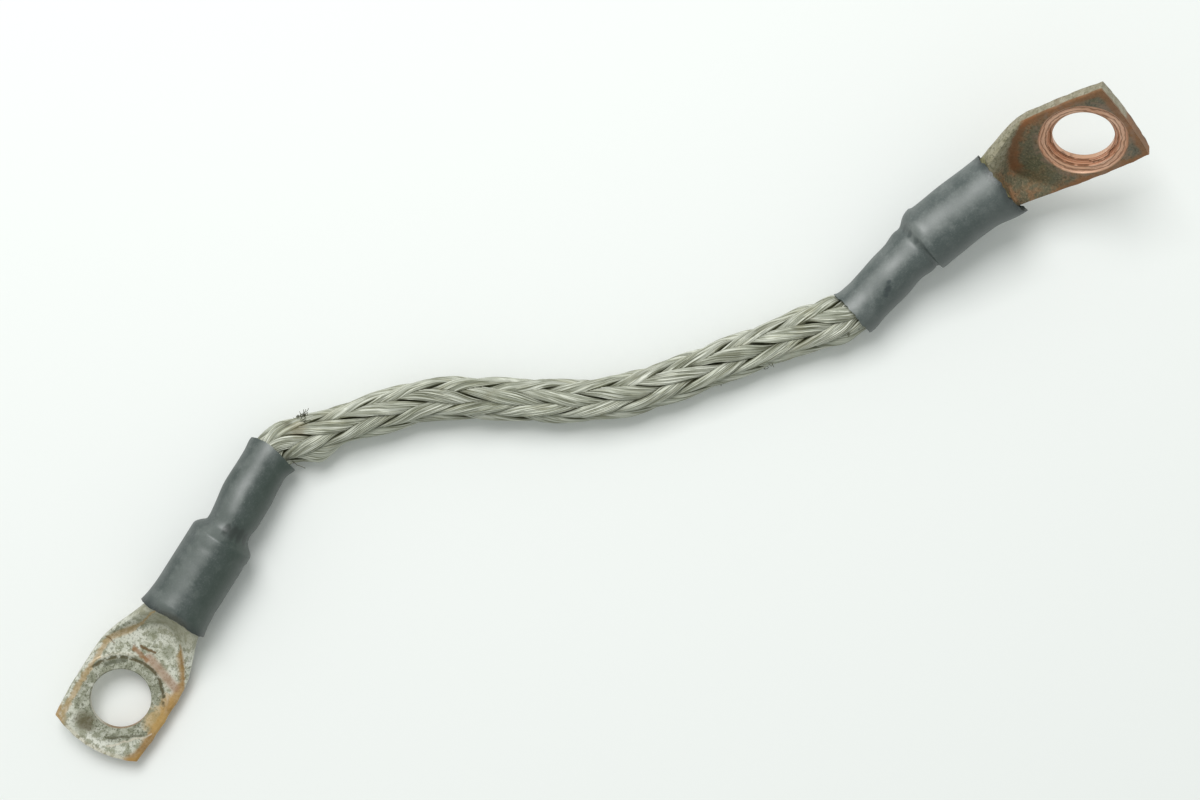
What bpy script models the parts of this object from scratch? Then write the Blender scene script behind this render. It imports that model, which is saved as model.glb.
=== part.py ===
"""Braided earth strap: a round plait of tinned copper wire between two copper cable lugs.

Metres, +Z up. The strap lies on the plane z = 0 with the line through its two lug holes
along X. The plait is made as the real one is: sixteen flat strands, eight winding each way,
each going over two and under two of the others.
"""
import math

import bmesh
import bpy
from mathutils import Matrix, Vector

# Cable lug: a copper tube, round at the barrel and pressed flat at the palm
BARREL_DIAMETER = 0.0103
BARREL_WALL = 0.0013
BARREL_LENGTH = 0.0136
BORE_END_WALL = 0.0011
BORE_END_TAPER = 0.0013
BORE_END_RADIUS = 0.0012
MOUTH_CHAMFER = 0.0004
NECK_LENGTH = 0.0124
NECK_WIDTH = 0.0166
PALM_WIDTH = 0.0173
PALM_THICKNESS = 0.0024
PALM_EDGE_RADIUS = 0.0006
PALM_OFFSET = 0.0042
HOLE_DIAMETER = 0.0105
HOLE_CHAMFER = 0.0002
HOLE_FROM_MOUTH = 0.0329
HOLE_TO_TIP = 0.0080

# Wear on the second lug: its hole is dished round the top rim
DISH_DIAMETER = 0.0152
DISH_DEPTH = 0.0003
FUNNEL_DIAMETER = 0.0126
FUNNEL_DEPTH = 0.0012

# Heat-shrink sleeve over the barrel and the start of the plait
SLEEVE_WALL = 0.00045
SLEEVE_GAP = 0.0002
SLEEVE_A_ON_PLAIT = 0.0183
SLEEVE_B_ON_PLAIT = 0.0195
SLEEVE_STEP = 0.0022
SLEEVE_DIP = 0.0003
SLEEVE_DIP_LENGTH = 0.0030
SLEEVE_END_FLARE = 0.0002

# Plait of sixteen flat strands
PLAIT_DIAMETER = 0.0080
PLAIT_LEAD = 0.084
STRANDS_EACH_WAY = 8
STRAND_THICKNESS = 0.0011
STRAND_FILL = 0.84
WEAVE_DEPTH = 0.00098
WEAVE_SQUARENESS = 0.9
STRAND_LEAN = 0.28
PLAIT_GAP = 0.0002
PLAIT_IN_BORE = 0.0110
PLAIT_EASE = 0.0032
FLARE_AT_SECOND_LUG = 0.10
FLARE_LENGTH = 0.012

# Facets
ROUND_SIDES = 24
CORNER_POINTS = 2
NECK_RINGS = 7
PALM_RINGS = 5
HOLE_SIDES = 34
ROUTE_STEPS = 12
SMOOTH_BELOW = 38.0
PLAIT_STEP = 0.0028
HIDDEN_STEP = 0.0035

# Where each lug lies: its barrel mouth, the way its palm points in degrees, and its own wear
LUG_A_MOUTH = Vector((-0.0660, 0.0063, 0.0060))
LUG_A_HEADING = 207.9
LUG_A_PITCH = 0.3
LUG_A_ROLL = -9.0
LUG_A_BEND = 0.0
LUG_A_TIP_WIDTH = 0.0164
LUG_A_TIP_BULGE = 0.0019
SLEEVE_A_PAST_BARREL = 0.0022
SLEEVE_A_SHOULDER = 0.0001
LUG_B_MOUTH = Vector((0.0682, -0.0094, 0.0077))
LUG_B_HEADING = 7.7
LUG_B_PITCH = 12.7
LUG_B_ROLL = 33.8
LUG_B_BEND = 27.0
LUG_B_TIP_WIDTH = 0.0166
LUG_B_TIP_BULGE = 0.0004
SLEEVE_B_PAST_BARREL = 0.0010
SLEEVE_B_SHOULDER = 0.0014
BEND_LENGTH = 0.0030

# Centreline of the plait between the lugs, chosen by hand: X, Y and Z in metres
ROUTE = (
    (-0.0585, 0.0109, 0.0053),
    (-0.0546, 0.0133, 0.0048),
    (-0.0517, 0.0149, 0.0045),
    (-0.0490, 0.0157, 0.0041),
    (-0.0459, 0.0154, 0.0040),
    (-0.0403, 0.0140, 0.0040),
    (-0.0347, 0.0129, 0.0040),
    (-0.0293, 0.0116, 0.0040),
    (-0.0241, 0.0102, 0.0040),
    (-0.0192, 0.0081, 0.0040),
    (-0.0147, 0.0055, 0.0040),
    (-0.0102, 0.0027, 0.0040),
    (-0.0057, -0.0001, 0.0040),
    (-0.0011, -0.0029, 0.0040),
    (0.0036, -0.0052, 0.0040),
    (0.0086, -0.0071, 0.0040),
    (0.0142, -0.0084, 0.0040),
    (0.0198, -0.0094, 0.0040),
    (0.0252, -0.0103, 0.0040),
    (0.0310, -0.0112, 0.0040),
    (0.0365, -0.0121, 0.0040),
    (0.0415, -0.0130, 0.0041),
    (0.0450, -0.0138, 0.0043),
    (0.0478, -0.0143, 0.0045),
    (0.0502, -0.0144, 0.0048),
    (0.0525, -0.0139, 0.0050),
    (0.0552, -0.0131, 0.0054),
    (0.0585, -0.0121, 0.0060),
)

COPPER = (0.36, 0.22, 0.13, 1.0)
TINNED_WIRE = (0.42, 0.43, 0.37, 1.0)
SLEEVE_GREY = (0.09, 0.105, 0.11, 1.0)


def clear_scene():
    for item in list(bpy.data.objects):
        bpy.data.objects.remove(item, do_unlink=True)


def make_material(name, colour, roughness, metallic):
    material = bpy.data.materials.new(name)
    material.use_nodes = True
    shader = material.node_tree.nodes["Principled BSDF"]
    shader.inputs["Base Color"].default_value = colour
    shader.inputs["Roughness"].default_value = roughness
    shader.inputs["Metallic"].default_value = metallic
    return material


def ease(value):
    """Smooth step from 0 to 1."""
    value = min(max(value, 0.0), 1.0)
    return value * value * (3.0 - 2.0 * value)


def mix(low, high, share):
    return low + (high - low) * share


# Lofted solids


def skin(name, rings, material, closed_loop=False):
    """Join rings of equal count, in order, into one closed solid."""
    mesh = bpy.data.meshes.new(name)
    build = bmesh.new()
    loops = [[build.verts.new(point) for point in ring] for ring in rings]
    pairs = list(zip(loops, loops[1:]))
    if closed_loop:
        pairs.append((loops[-1], loops[0]))
    for near, far in pairs:
        count = len(near)
        for index in range(count):
            following = (index + 1) % count
            build.faces.new((near[index], near[following], far[following], far[index]))
    if not closed_loop:
        build.faces.new(list(reversed(loops[0])))
        build.faces.new(loops[-1])
    bmesh.ops.recalc_face_normals(build, faces=build.faces)
    build.to_mesh(mesh)
    build.free()
    mesh.shade_smooth()
    mesh.set_sharp_from_angle(angle=math.radians(SMOOTH_BELOW))
    mesh.materials.append(material)
    body = bpy.data.objects.new(name, mesh)
    bpy.context.scene.collection.objects.link(body)
    return body


# Cable lugs


class Lug:
    """One cable lug: X runs from the barrel mouth to the palm, Z is the palm's upper side."""

    def __init__(self, mouth, heading, pitch, roll, bend, tip_width, tip_bulge, past_barrel):
        turn = Matrix.Rotation(math.radians(heading), 4, "Z")
        lift = Matrix.Rotation(math.radians(-pitch), 4, "Y")
        lean = Matrix.Rotation(math.radians(roll), 4, "X")
        self.place = Matrix.Translation(mouth) @ turn @ lift @ lean
        self.bend = math.radians(bend)
        self.tip_width = tip_width
        self.tip_bulge = tip_bulge
        self.sleeve_end = BARREL_LENGTH + past_barrel

    def bent(self, point):
        """Carry a point of the straight lug to one bent where its sleeve ends."""
        run = point.x - self.sleeve_end
        if run <= 0.0 or self.bend == 0.0:
            return self.place @ point
        angle = self.bend * min(run / BEND_LENGTH, 1.0)
        radius = BEND_LENGTH / self.bend
        height = point.z + PALM_OFFSET
        past = max(run - BEND_LENGTH, 0.0)
        x = self.sleeve_end + (radius - height) * math.sin(angle) + past * math.cos(angle)
        z = radius - (radius - height) * math.cos(angle) + past * math.sin(angle) - PALM_OFFSET
        return self.place @ Vector((x, point.y, z))

    def palm_frame(self):
        """Frame on the palm's upper face, at the middle of its hole."""
        top = PALM_THICKNESS - PALM_OFFSET
        centre = self.bent(Vector((HOLE_FROM_MOUTH, 0.0, top)))
        tilt = Matrix.Rotation(-self.bend, 4, "Y")
        return Matrix.Translation(centre) @ self.place.to_3x3().to_4x4() @ tilt


def palm_half_width(lug, station):
    """Half the pressed width: narrow at the neck, widest at the hole, eased in at the tip."""
    flat_start = BARREL_LENGTH + NECK_LENGTH
    if station <= HOLE_FROM_MOUTH:
        share = ease((station - flat_start + NECK_LENGTH / 3.0) / (HOLE_FROM_MOUTH - flat_start))
        return mix(NECK_WIDTH, PALM_WIDTH, share) / 2.0
    share = min((station - HOLE_FROM_MOUTH) / HOLE_TO_TIP, 1.0)
    return mix(PALM_WIDTH, lug.tip_width, share * share) / 2.0


def lug_outline(lug, station, grow=0.0):
    """Y and Z round the lug at a station: a circle that is pressed into a flat section."""
    pressed = ease((station - BARREL_LENGTH) / NECK_LENGTH)
    radius = BARREL_DIAMETER / 2.0
    half_width = palm_half_width(lug, station)
    half_height = PALM_THICKNESS / 2.0
    middle = half_height - PALM_OFFSET
    turns = [math.radians(90.0) * (step + 0.5) / CORNER_POINTS for step in range(CORNER_POINTS)]
    flat_points = ROUND_SIDES // 2 - 2 * CORNER_POINTS
    reach = half_width - PALM_EDGE_RADIUS
    rise = half_height - PALM_EDGE_RADIUS
    flat = []
    for side in (1.0, -1.0):
        for turn in turns:
            flat.append((side * (reach + PALM_EDGE_RADIUS * math.cos(turn)),
                         side * (rise + PALM_EDGE_RADIUS * math.sin(turn))))
        for step in range(flat_points):
            share = step / (flat_points - 1)
            flat.append((side * mix(reach, -reach, share), side * half_height))
        for turn in reversed(turns):
            flat.append((-side * (reach + PALM_EDGE_RADIUS * math.cos(turn)),
                         side * (rise + PALM_EDGE_RADIUS * math.sin(turn))))
    outline = []
    for index, (y, z) in enumerate(flat):
        angle = 2.0 * math.pi * (index + 0.5) / ROUND_SIDES
        round_y = radius * math.cos(angle)
        round_z = radius * math.sin(angle)
        outline.append(Vector((mix(round_y, y, pressed), mix(round_z, z + middle, pressed))))
    if grow == 0.0:
        return outline
    grown = []
    for index, point in enumerate(outline):
        along = outline[(index + 1) % ROUND_SIDES] - outline[index - 1]
        outward = Vector((along.y, -along.x)).normalized()
        grown.append(point + outward * grow)
    return grown


def make_lug(name, lug, worn, material):
    """Loft the lug from the bottom of its bore, out over the barrel and along the palm."""
    bore_depth = BARREL_LENGTH - BORE_END_WALL
    inside = ((bore_depth + BORE_END_TAPER, BORE_END_RADIUS), (bore_depth, bore_radius()),
              (0.0, bore_radius()))
    rings = []
    for station, radius in inside:
        ring = []
        for index in range(ROUND_SIDES):
            angle = 2.0 * math.pi * (index + 0.5) / ROUND_SIDES
            ring.append(Vector((station, radius * math.cos(angle), radius * math.sin(angle))))
        rings.append(ring)
    tip = HOLE_FROM_MOUTH + HOLE_TO_TIP
    flat_start = BARREL_LENGTH + NECK_LENGTH
    neck = [mix(BARREL_LENGTH, flat_start, step / NECK_RINGS) for step in range(NECK_RINGS + 1)]
    palm = [mix(flat_start, tip, (step + 1) / PALM_RINGS) for step in range(PALM_RINGS)]
    stations = [0.0, MOUTH_CHAMFER] + neck + palm
    for station in stations:
        shrink = MOUTH_CHAMFER if station == 0.0 else 0.0
        ring = []
        for point in lug_outline(lug, station, -shrink):
            bulge = 0.0
            if station > HOLE_FROM_MOUTH:
                share = (station - HOLE_FROM_MOUTH) / HOLE_TO_TIP
                across = point.x / (lug.tip_width / 2.0)
                bulge = lug.tip_bulge * share * max(0.0, 1.0 - across * across)
            ring.append(Vector((station + bulge, point.x, point.y)))
        rings.append(ring)
    body = skin(name, [[lug.bent(point) for point in ring] for ring in rings], material)
    cutter = hole_cutter(name + "_hole", lug, worn)
    cut = body.modifiers.new("hole", "BOOLEAN")
    cut.operation = "DIFFERENCE"
    cut.solver = "EXACT"
    cut.object = cutter
    return body


def hole_cutter(name, lug, worn):
    """Turned cutter for the bolt hole, with a worn dish and funnel where the lug has them."""
    radius = HOLE_DIAMETER / 2.0
    clear = PALM_THICKNESS
    below = -PALM_THICKNESS - clear
    if worn:
        profile = [(radius, below), (radius, -FUNNEL_DEPTH), (FUNNEL_DIAMETER / 2.0, -DISH_DEPTH),
                   (DISH_DIAMETER / 2.0 - DISH_DEPTH, -DISH_DEPTH), (DISH_DIAMETER / 2.0, 0.0),
                   (DISH_DIAMETER / 2.0, clear)]
    else:
        profile = [(radius, below), (radius, -HOLE_CHAMFER), (radius + HOLE_CHAMFER, 0.0),
                   (radius + HOLE_CHAMFER, clear)]
    frame = lug.palm_frame()
    rings = []
    for reach, height in profile:
        ring = []
        for index in range(HOLE_SIDES):
            angle = 2.0 * math.pi * index / HOLE_SIDES
            ring.append(frame @ Vector((reach * math.cos(angle), reach * math.sin(angle), height)))
        rings.append(ring)
    cutter = skin(name, rings, bpy.data.materials[0])
    cutter.hide_render = True
    cutter.display_type = "WIRE"
    return cutter


# Centreline of the plait


class Route:
    """Smooth curve through the plait's points, with a frame that doesn't spin along it."""

    def __init__(self, points, start_normal):
        self.places = [points[0].copy()]
        padded = [points[0] * 2.0 - points[1]] + points + [points[-1] * 2.0 - points[-2]]
        for index in range(1, len(padded) - 2):
            for step in range(1, ROUTE_STEPS + 1):
                self.places.append(self.blend(padded[index - 1:index + 3], step / ROUTE_STEPS))
        self.runs = [0.0]
        for before, after in zip(self.places, self.places[1:]):
            self.runs.append(self.runs[-1] + (after - before).length)
        self.length = self.runs[-1]
        self.normals = []
        normal = start_normal
        for index in range(len(self.places)):
            heading = self.heading(index)
            normal = (normal - heading * normal.dot(heading)).normalized()
            self.normals.append(normal)

    @staticmethod
    def blend(quad, share):
        """Catmull-Rom curve between the two middle points of four."""
        first, second, third, fourth = quad
        square = share * share
        cube = square * share
        return 0.5 * (second * 2.0 + (third - first) * share
                      + (first * 2.0 - second * 5.0 + third * 4.0 - fourth) * square
                      + (second * 3.0 - first - third * 3.0 + fourth) * cube)

    def heading(self, index):
        before = self.places[max(index - 1, 0)]
        after = self.places[min(index + 1, len(self.places) - 1)]
        return (after - before).normalized()

    def frame(self, run):
        """Point, heading, normal and binormal at a length along the curve."""
        run = min(max(run, 0.0), self.length)
        index = 0
        while index < len(self.runs) - 2 and self.runs[index + 1] < run:
            index += 1
        share = (run - self.runs[index]) / (self.runs[index + 1] - self.runs[index])
        place = self.places[index].lerp(self.places[index + 1], share)
        heading = self.heading(index).lerp(self.heading(index + 1), share).normalized()
        normal = self.normals[index].lerp(self.normals[index + 1], share)
        normal = (normal - heading * normal.dot(heading)).normalized()
        return place, heading, normal, heading.cross(normal)


def plait_route(lug_a, lug_b):
    """Route from the bottom of one bore to the bottom of the other, straight in each."""
    inside = (PLAIT_IN_BORE, PLAIT_IN_BORE / 2.0, 0.0, -PLAIT_EASE)
    points = [lug_a.place @ Vector((depth, 0.0, 0.0)) for depth in inside]
    points += [Vector(point) for point in ROUTE]
    points += [lug_b.place @ Vector((depth, 0.0, 0.0)) for depth in reversed(inside)]
    up = lug_a.place.to_3x3() @ Vector((0.0, 0.0, 1.0))
    return Route(points, up)


# Heat-shrink sleeves


def make_sleeve(name, lug, route, shoulder, on_plait, towards_end, material):
    """Thin tube that grips the lug's barrel and neck, then steps down onto the plait."""
    slim = bore_radius() + SLEEVE_WALL
    wide = BARREL_DIAMETER / 2.0 + SLEEVE_GAP + SLEEVE_WALL
    dip = shoulder + SLEEVE_STEP + SLEEVE_DIP_LENGTH / 2.0
    profile = (
        (on_plait, slim),
        (dip + SLEEVE_DIP_LENGTH, slim + SLEEVE_DIP / 2.0),
        (dip, slim - SLEEVE_DIP / 2.0),
        (shoulder + SLEEVE_STEP, slim + SLEEVE_DIP),
        (shoulder + SLEEVE_STEP / 2.0, (slim + wide) / 2.0),
        (shoulder, wide - SLEEVE_DIP),
    )
    on_lug = ((SLEEVE_STEP / 4.0, 0.0), (BARREL_LENGTH, 0.0), (lug.sleeve_end, SLEEVE_END_FLARE))
    up = lug.place.to_3x3() @ Vector((0.0, 0.0, 1.0))
    outer = []
    inner = []
    for beyond, radius in profile:
        run = PLAIT_IN_BORE + beyond
        if towards_end:
            run = route.length - run
        place, heading, _, _ = route.frame(run)
        out = heading if towards_end else -heading
        normal = (up - out * up.dot(out)).normalized()
        side = normal.cross(out)
        for rings, reach in ((outer, radius), (inner, radius - SLEEVE_WALL)):
            ring = []
            for index in range(ROUND_SIDES):
                angle = 2.0 * math.pi * (index + 0.5) / ROUND_SIDES
                ring.append(place + side * (reach * math.cos(angle)) + normal * (reach * math.sin(angle)))
            rings.append(ring)
    for station, flare in on_lug:
        for rings, grow in ((outer, SLEEVE_GAP + SLEEVE_WALL + flare), (inner, SLEEVE_GAP + flare)):
            ring = []
            for point in lug_outline(lug, station, grow):
                ring.append(lug.place @ Vector((station, point.x, point.y)))
            rings.append(ring)
    return skin(name, outer + list(reversed(inner)), material, closed_loop=True)


# Plait


def bore_radius():
    """Radius that the plait's outside has, with its gap, in a barrel and in a sleeve."""
    return BARREL_DIAMETER / 2.0 - BARREL_WALL


def over_under(angle):
    """How far out the strands of the first set ride: 1 when over, -1 when under."""
    wave = math.cos(STRANDS_EACH_WAY / 2.0 * angle + math.radians(45.0))
    return math.tanh(WEAVE_SQUARENESS * wave) / math.tanh(WEAVE_SQUARENESS)


def plait_scale(run, length):
    """Squeeze of the plait's section: held in by bore and sleeve, loose by the second sleeve."""
    held = (bore_radius() - PLAIT_GAP) / (PLAIT_DIAMETER / 2.0)
    past_first = run - PLAIT_IN_BORE - SLEEVE_A_ON_PLAIT
    beyond = length - run - PLAIT_IN_BORE - SLEEVE_B_ON_PLAIT
    free = ease(min(past_first, beyond) / PLAIT_EASE)
    flare = 0.0
    if 0.0 < beyond < FLARE_LENGTH:
        flare = FLARE_AT_SECOND_LUG * math.sin(math.pi * beyond / FLARE_LENGTH)
    return mix(held, 1.0, free) + flare


def strand_section(angle, outward, scale):
    """Six points round a flat strand, as angle and radius about the plait's axis."""
    half_angle = math.pi / STRANDS_EACH_WAY * STRAND_FILL
    half_thickness = STRAND_THICKNESS / 2.0
    middle = PLAIT_DIAMETER / 2.0 - WEAVE_DEPTH - half_thickness
    nudge = math.radians(0.5)
    rise = (over_under(angle + nudge) - over_under(angle - nudge)) / (2.0 * nudge)
    radius = middle + outward * WEAVE_DEPTH * over_under(angle)
    lean = outward * WEAVE_DEPTH * rise * STRAND_LEAN
    points = []
    for across, side in ((-1.0, 0.0), (-0.5, 1.0), (0.5, 1.0), (1.0, 0.0), (0.5, -1.0), (-0.5, -1.0)):
        offset = across * half_angle
        bow = side * half_thickness * math.sqrt(1.0 - across * across)
        points.append((angle + offset, (radius + lean * offset + bow) * scale))
    return points


def plait_stations(length):
    """Lengths along the route at which strands are drawn, wider apart where they are hidden."""
    covered = PLAIT_IN_BORE + SLEEVE_A_ON_PLAIT - HIDDEN_STEP
    hidden_count = max(2, round(covered / HIDDEN_STEP))
    shown_count = max(8, round((length - 2.0 * covered) / PLAIT_STEP))
    start = [covered * step / hidden_count for step in range(hidden_count)]
    shown = [mix(covered, length - covered, step / shown_count) for step in range(shown_count + 1)]
    finish = [length - run for run in reversed(start)]
    return start + shown + finish


def make_strand(name, route, number, hand, material):
    """One strand, winding with the given hand from the bottom of one bore to the other."""
    rings = []
    first_angle = 2.0 * math.pi * number / STRANDS_EACH_WAY
    for run in plait_stations(route.length):
        place, _, normal, binormal = route.frame(run)
        angle = first_angle + hand * 2.0 * math.pi * run / PLAIT_LEAD
        ring = []
        for turn, reach in strand_section(angle, hand, plait_scale(run, route.length)):
            across = normal * (reach * math.cos(turn))
            ring.append(place + across + binormal * (reach * math.sin(turn)))
        rings.append(ring)
    return skin(name, rings, material)


def main():
    clear_scene()
    copper = make_material("worn_tinned_copper", COPPER, 0.45, 0.9)
    wire = make_material("tinned_copper_wire", TINNED_WIRE, 0.4, 0.85)
    shrink = make_material("heat_shrink", SLEEVE_GREY, 0.45, 0.0)
    lug_a = Lug(LUG_A_MOUTH, LUG_A_HEADING, LUG_A_PITCH, LUG_A_ROLL, LUG_A_BEND,
                LUG_A_TIP_WIDTH, LUG_A_TIP_BULGE, SLEEVE_A_PAST_BARREL)
    lug_b = Lug(LUG_B_MOUTH, LUG_B_HEADING, LUG_B_PITCH, LUG_B_ROLL, LUG_B_BEND,
                LUG_B_TIP_WIDTH, LUG_B_TIP_BULGE, SLEEVE_B_PAST_BARREL)
    route = plait_route(lug_a, lug_b)
    make_lug("cable_lug_a", lug_a, False, copper)
    make_lug("cable_lug_b", lug_b, True, copper)
    make_sleeve("heat_shrink_a", lug_a, route, SLEEVE_A_SHOULDER, SLEEVE_A_ON_PLAIT, False, shrink)
    make_sleeve("heat_shrink_b", lug_b, route, SLEEVE_B_SHOULDER, SLEEVE_B_ON_PLAIT, True, shrink)
    for number in range(STRANDS_EACH_WAY):
        make_strand("strand_right_%d" % (number + 1), route, number, 1, wire)
        make_strand("strand_left_%d" % (number + 1), route, number, -1, wire)


main()
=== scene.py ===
"""Finished looks of a braided earth strap: a plait of tinned wire between two cable lugs.

Metres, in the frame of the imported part: +X towards the second lug, +Z up, table at z = 0.
Texture coordinates and wear masks are in millimetres.
"""
from math import cos, pi, radians, sin, tanh

import bpy
import numpy as np
from mathutils import Matrix, Vector


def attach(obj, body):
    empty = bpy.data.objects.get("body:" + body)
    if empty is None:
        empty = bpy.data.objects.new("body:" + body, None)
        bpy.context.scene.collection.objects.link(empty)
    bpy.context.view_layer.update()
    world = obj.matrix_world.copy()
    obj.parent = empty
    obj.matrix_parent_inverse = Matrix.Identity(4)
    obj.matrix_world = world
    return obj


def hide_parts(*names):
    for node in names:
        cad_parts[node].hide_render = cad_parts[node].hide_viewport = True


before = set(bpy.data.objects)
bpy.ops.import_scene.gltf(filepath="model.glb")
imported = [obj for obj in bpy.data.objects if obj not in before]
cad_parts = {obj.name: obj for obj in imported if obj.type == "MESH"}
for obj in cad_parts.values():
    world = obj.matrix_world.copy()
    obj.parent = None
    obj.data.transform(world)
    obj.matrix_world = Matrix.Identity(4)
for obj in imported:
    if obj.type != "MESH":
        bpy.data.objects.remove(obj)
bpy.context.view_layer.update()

MM = 0.001

# Cable lugs, as in the part
BARREL_DIAMETER = 10.3 * MM
BARREL_WALL = 1.3 * MM
BARREL_LENGTH = 13.6 * MM
BORE_DEPTH = 12.5 * MM
BORE_TIP_LENGTH = 1.3 * MM
BORE_TIP_RADIUS = 1.2 * MM
MOUTH_CHAMFER = 0.4 * MM
NECK_LENGTH = 12.4 * MM
NECK_END = BARREL_LENGTH + NECK_LENGTH
NECK_WIDTH = 16.6 * MM
PALM_WIDTH = 17.3 * MM
PALM_THICKNESS = 2.4 * MM
PALM_EDGE_RADIUS = 0.45 * MM
PALM_OFFSET = 4.2 * MM
NECK_DROP = 1.4
HOLE_DIAMETER = 10.5 * MM
HOLE_CHAMFER = 0.2 * MM
HOLE_FROM_MOUTH = 32.9 * MM
HOLE_TO_TIP = 8.0 * MM
BEND_LENGTH = 3.0 * MM

# Worn hole of the second lug
DISH_DIAMETER = 15.2 * MM
DISH_DEPTH = 0.3 * MM
FUNNEL_DIAMETER = 12.6 * MM
FUNNEL_DEPTH = 1.2 * MM
FUNNEL_CURVE = 1.4
GROOVE_DEPTH = 0.11 * MM
GROOVE_COUNT = 4
GROOVE_STEPS = 4
DISH_STEPS = 8

# Knocks on the palms
FACE_WAVE = 0.05 * MM
SIDE_WAVE = 0.07 * MM
TIP_WAVE = 0.06 * MM

# Heat-shrink sleeves
SLEEVE_WALL = 0.45 * MM
SLEEVE_GAP = 0.2 * MM
SLEEVE_STEP = 2.2 * MM
SLEEVE_BELLY = 0.18 * MM
SLEEVE_LAY_RADIUS = 5.5
RAGGED_WAVES = ((3, 0.5), (8, 0.35), (17, 0.3), (29, 0.25))

# Plait
PLAIT_RADIUS = 4.0 * MM
PLAIT_LEAD = 84.0 * MM
STRANDS_EACH_WAY = 8
STRAND_THICKNESS = 1.3 * MM
STRAND_FLATNESS = 4.0
WEAVE_DEPTH = 0.6 * MM
WEAVE_SQUARENESS = 1.5
STRAND_LEAN = 0.55
WIDTH_UNDER = 0.92
WIDTH_OVER = 1.09
STRAND_SWAY = 2.3
STRAND_SWELL = 0.09 * MM
PLAIT_SLACK = 0.05
SLACK_EASE = (12.0 * MM, 14.0 * MM)
PLAIT_GAP = 0.2 * MM
PLAIT_IN_BORE = 11.0 * MM
PLAIT_EASE = 3.2 * MM
TABLE_CLEARANCE = 0.03 * MM
FLARE_AT_SECOND_LUG = 0.10
FLARE_LENGTH = 12.0 * MM
WIRES_ACROSS = 11
WIRE_RIDGE = 0.07 * MM
WIRE_WANDER = 0.32
PROUD_WIRE = 0.10 * MM
HAIR_RADIUS = 0.055 * MM
HAIR_CURL = 0.14 * MM
HAIR_DROOP = 0.25
HAIR_ROOT = 0.86

# Lumps of the plait, in mm and degrees from the top: run, half length, side, half side, height
PLAIT_LUMPS = (
    (36.4, 2.8, 98.0, 34.0, 1.7),
    (41.8, 2.2, 92.0, 34.0, -0.7),
    (41.0, 6.0, -75.0, 42.0, -0.45),
    (133.0, 3.2, -65.0, 40.0, 0.35),
    (128.0, 3.0, 60.0, 40.0, -0.25),
)

# Loose wires, in mm and degrees: run, side, how many, spread along the plait, how far they reach
LOOSE_WIRES = (
    (35.8, -70.0, 30, 0.4, 0.95),
    (36.6, -50.0, 8, 0.6, 0.7),
    (30.2, 70.0, 5, 0.8, 1.3),
    (110.0, 84.0, 1, 0.8, 1.2),
    (118.0, 78.0, 2, 1.0, 1.5),
    (134.0, 50.0, 3, 1.0, 1.3),
)

# Steps of the meshes
SHOWN_STEP = 0.7 * MM
HIDDEN_STEP = 3.5 * MM
ROUND_SIDES = 96
HOLE_SIDES = 144
HAIR_SIDES = 5
HAIR_POINTS = 13
LUG_RINGS = 110
SLEEVE_RINGS = 170
CURVE_STEPS = 12

# Centreline of the plait between the lugs, in mm, as in the part
ROUTE = (
    (-58.5, 10.9, 5.3),
    (-54.6, 13.3, 4.8),
    (-51.7, 14.9, 4.5),
    (-49.0, 15.7, 4.1),
    (-45.9, 15.4, 4.0),
    (-40.3, 14.0, 4.0),
    (-34.7, 12.9, 4.0),
    (-29.3, 11.6, 4.0),
    (-24.1, 10.2, 4.0),
    (-19.2, 8.1, 4.0),
    (-14.7, 5.5, 4.0),
    (-10.2, 2.7, 4.0),
    (-5.7, -0.1, 4.0),
    (-1.1, -2.9, 4.0),
    (3.6, -5.2, 4.0),
    (8.6, -7.1, 4.0),
    (14.2, -8.4, 4.0),
    (19.8, -9.4, 4.0),
    (25.2, -10.3, 4.0),
    (31.0, -11.2, 4.0),
    (36.5, -12.1, 4.0),
    (41.5, -13.0, 4.1),
    (45.0, -13.8, 4.3),
    (47.8, -14.3, 4.5),
    (50.2, -14.4, 4.8),
    (52.5, -13.9, 5.0),
    (55.2, -13.1, 5.4),
    (58.5, -12.1, 6.0),
)


# Numbers


def ease(value):
    """Smooth step from 0 to 1, for numbers and arrays."""
    value = np.clip(value, 0.0, 1.0)
    return value * value * (3.0 - 2.0 * value)


def mix(low, high, share):
    return low + (high - low) * share


def hump(value, middle, width):
    """Smooth rise and fall of height 1."""
    return np.exp(-((value - middle) / width) ** 2)


def turns(count, start=0.0):
    """Angles once round a circle; a start of 0.5 sets them half a step on."""
    return 2.0 * pi * (np.arange(count) + start) / count


def around(angle, middle_degrees, width_degrees):
    """Smooth rise to 1 about one side of a tube."""
    apart = np.angle(np.exp(1j * (angle - radians(middle_degrees))))
    return np.exp(-(apart / radians(width_degrees)) ** 2)


def unit(vectors):
    return vectors / np.linalg.norm(vectors, axis=-1)[..., None]


def unit_circle(angle):
    return np.stack((np.cos(angle), np.sin(angle)), 1)


def drift(random, wavelength):
    """A slow random wave of about -1 to 1, the same on every run of the script."""
    phases = random.uniform(0.0, 2.0 * pi, 3)
    lengths = wavelength * random.uniform(0.7, 1.4, 3) * np.array((1.0, 0.62, 0.41))

    def wave(run):
        return sum(np.sin(2.0 * pi * run / length + phase) * share
                   for length, phase, share in zip(lengths, phases, (0.6, 0.35, 0.2)))
    return wave


# Meshes


def add_object(name, data):
    """An object in the scene for a mesh, camera or lamp."""
    made = bpy.data.objects.new(name, data)
    bpy.context.scene.collection.objects.link(made)
    return made


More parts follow.
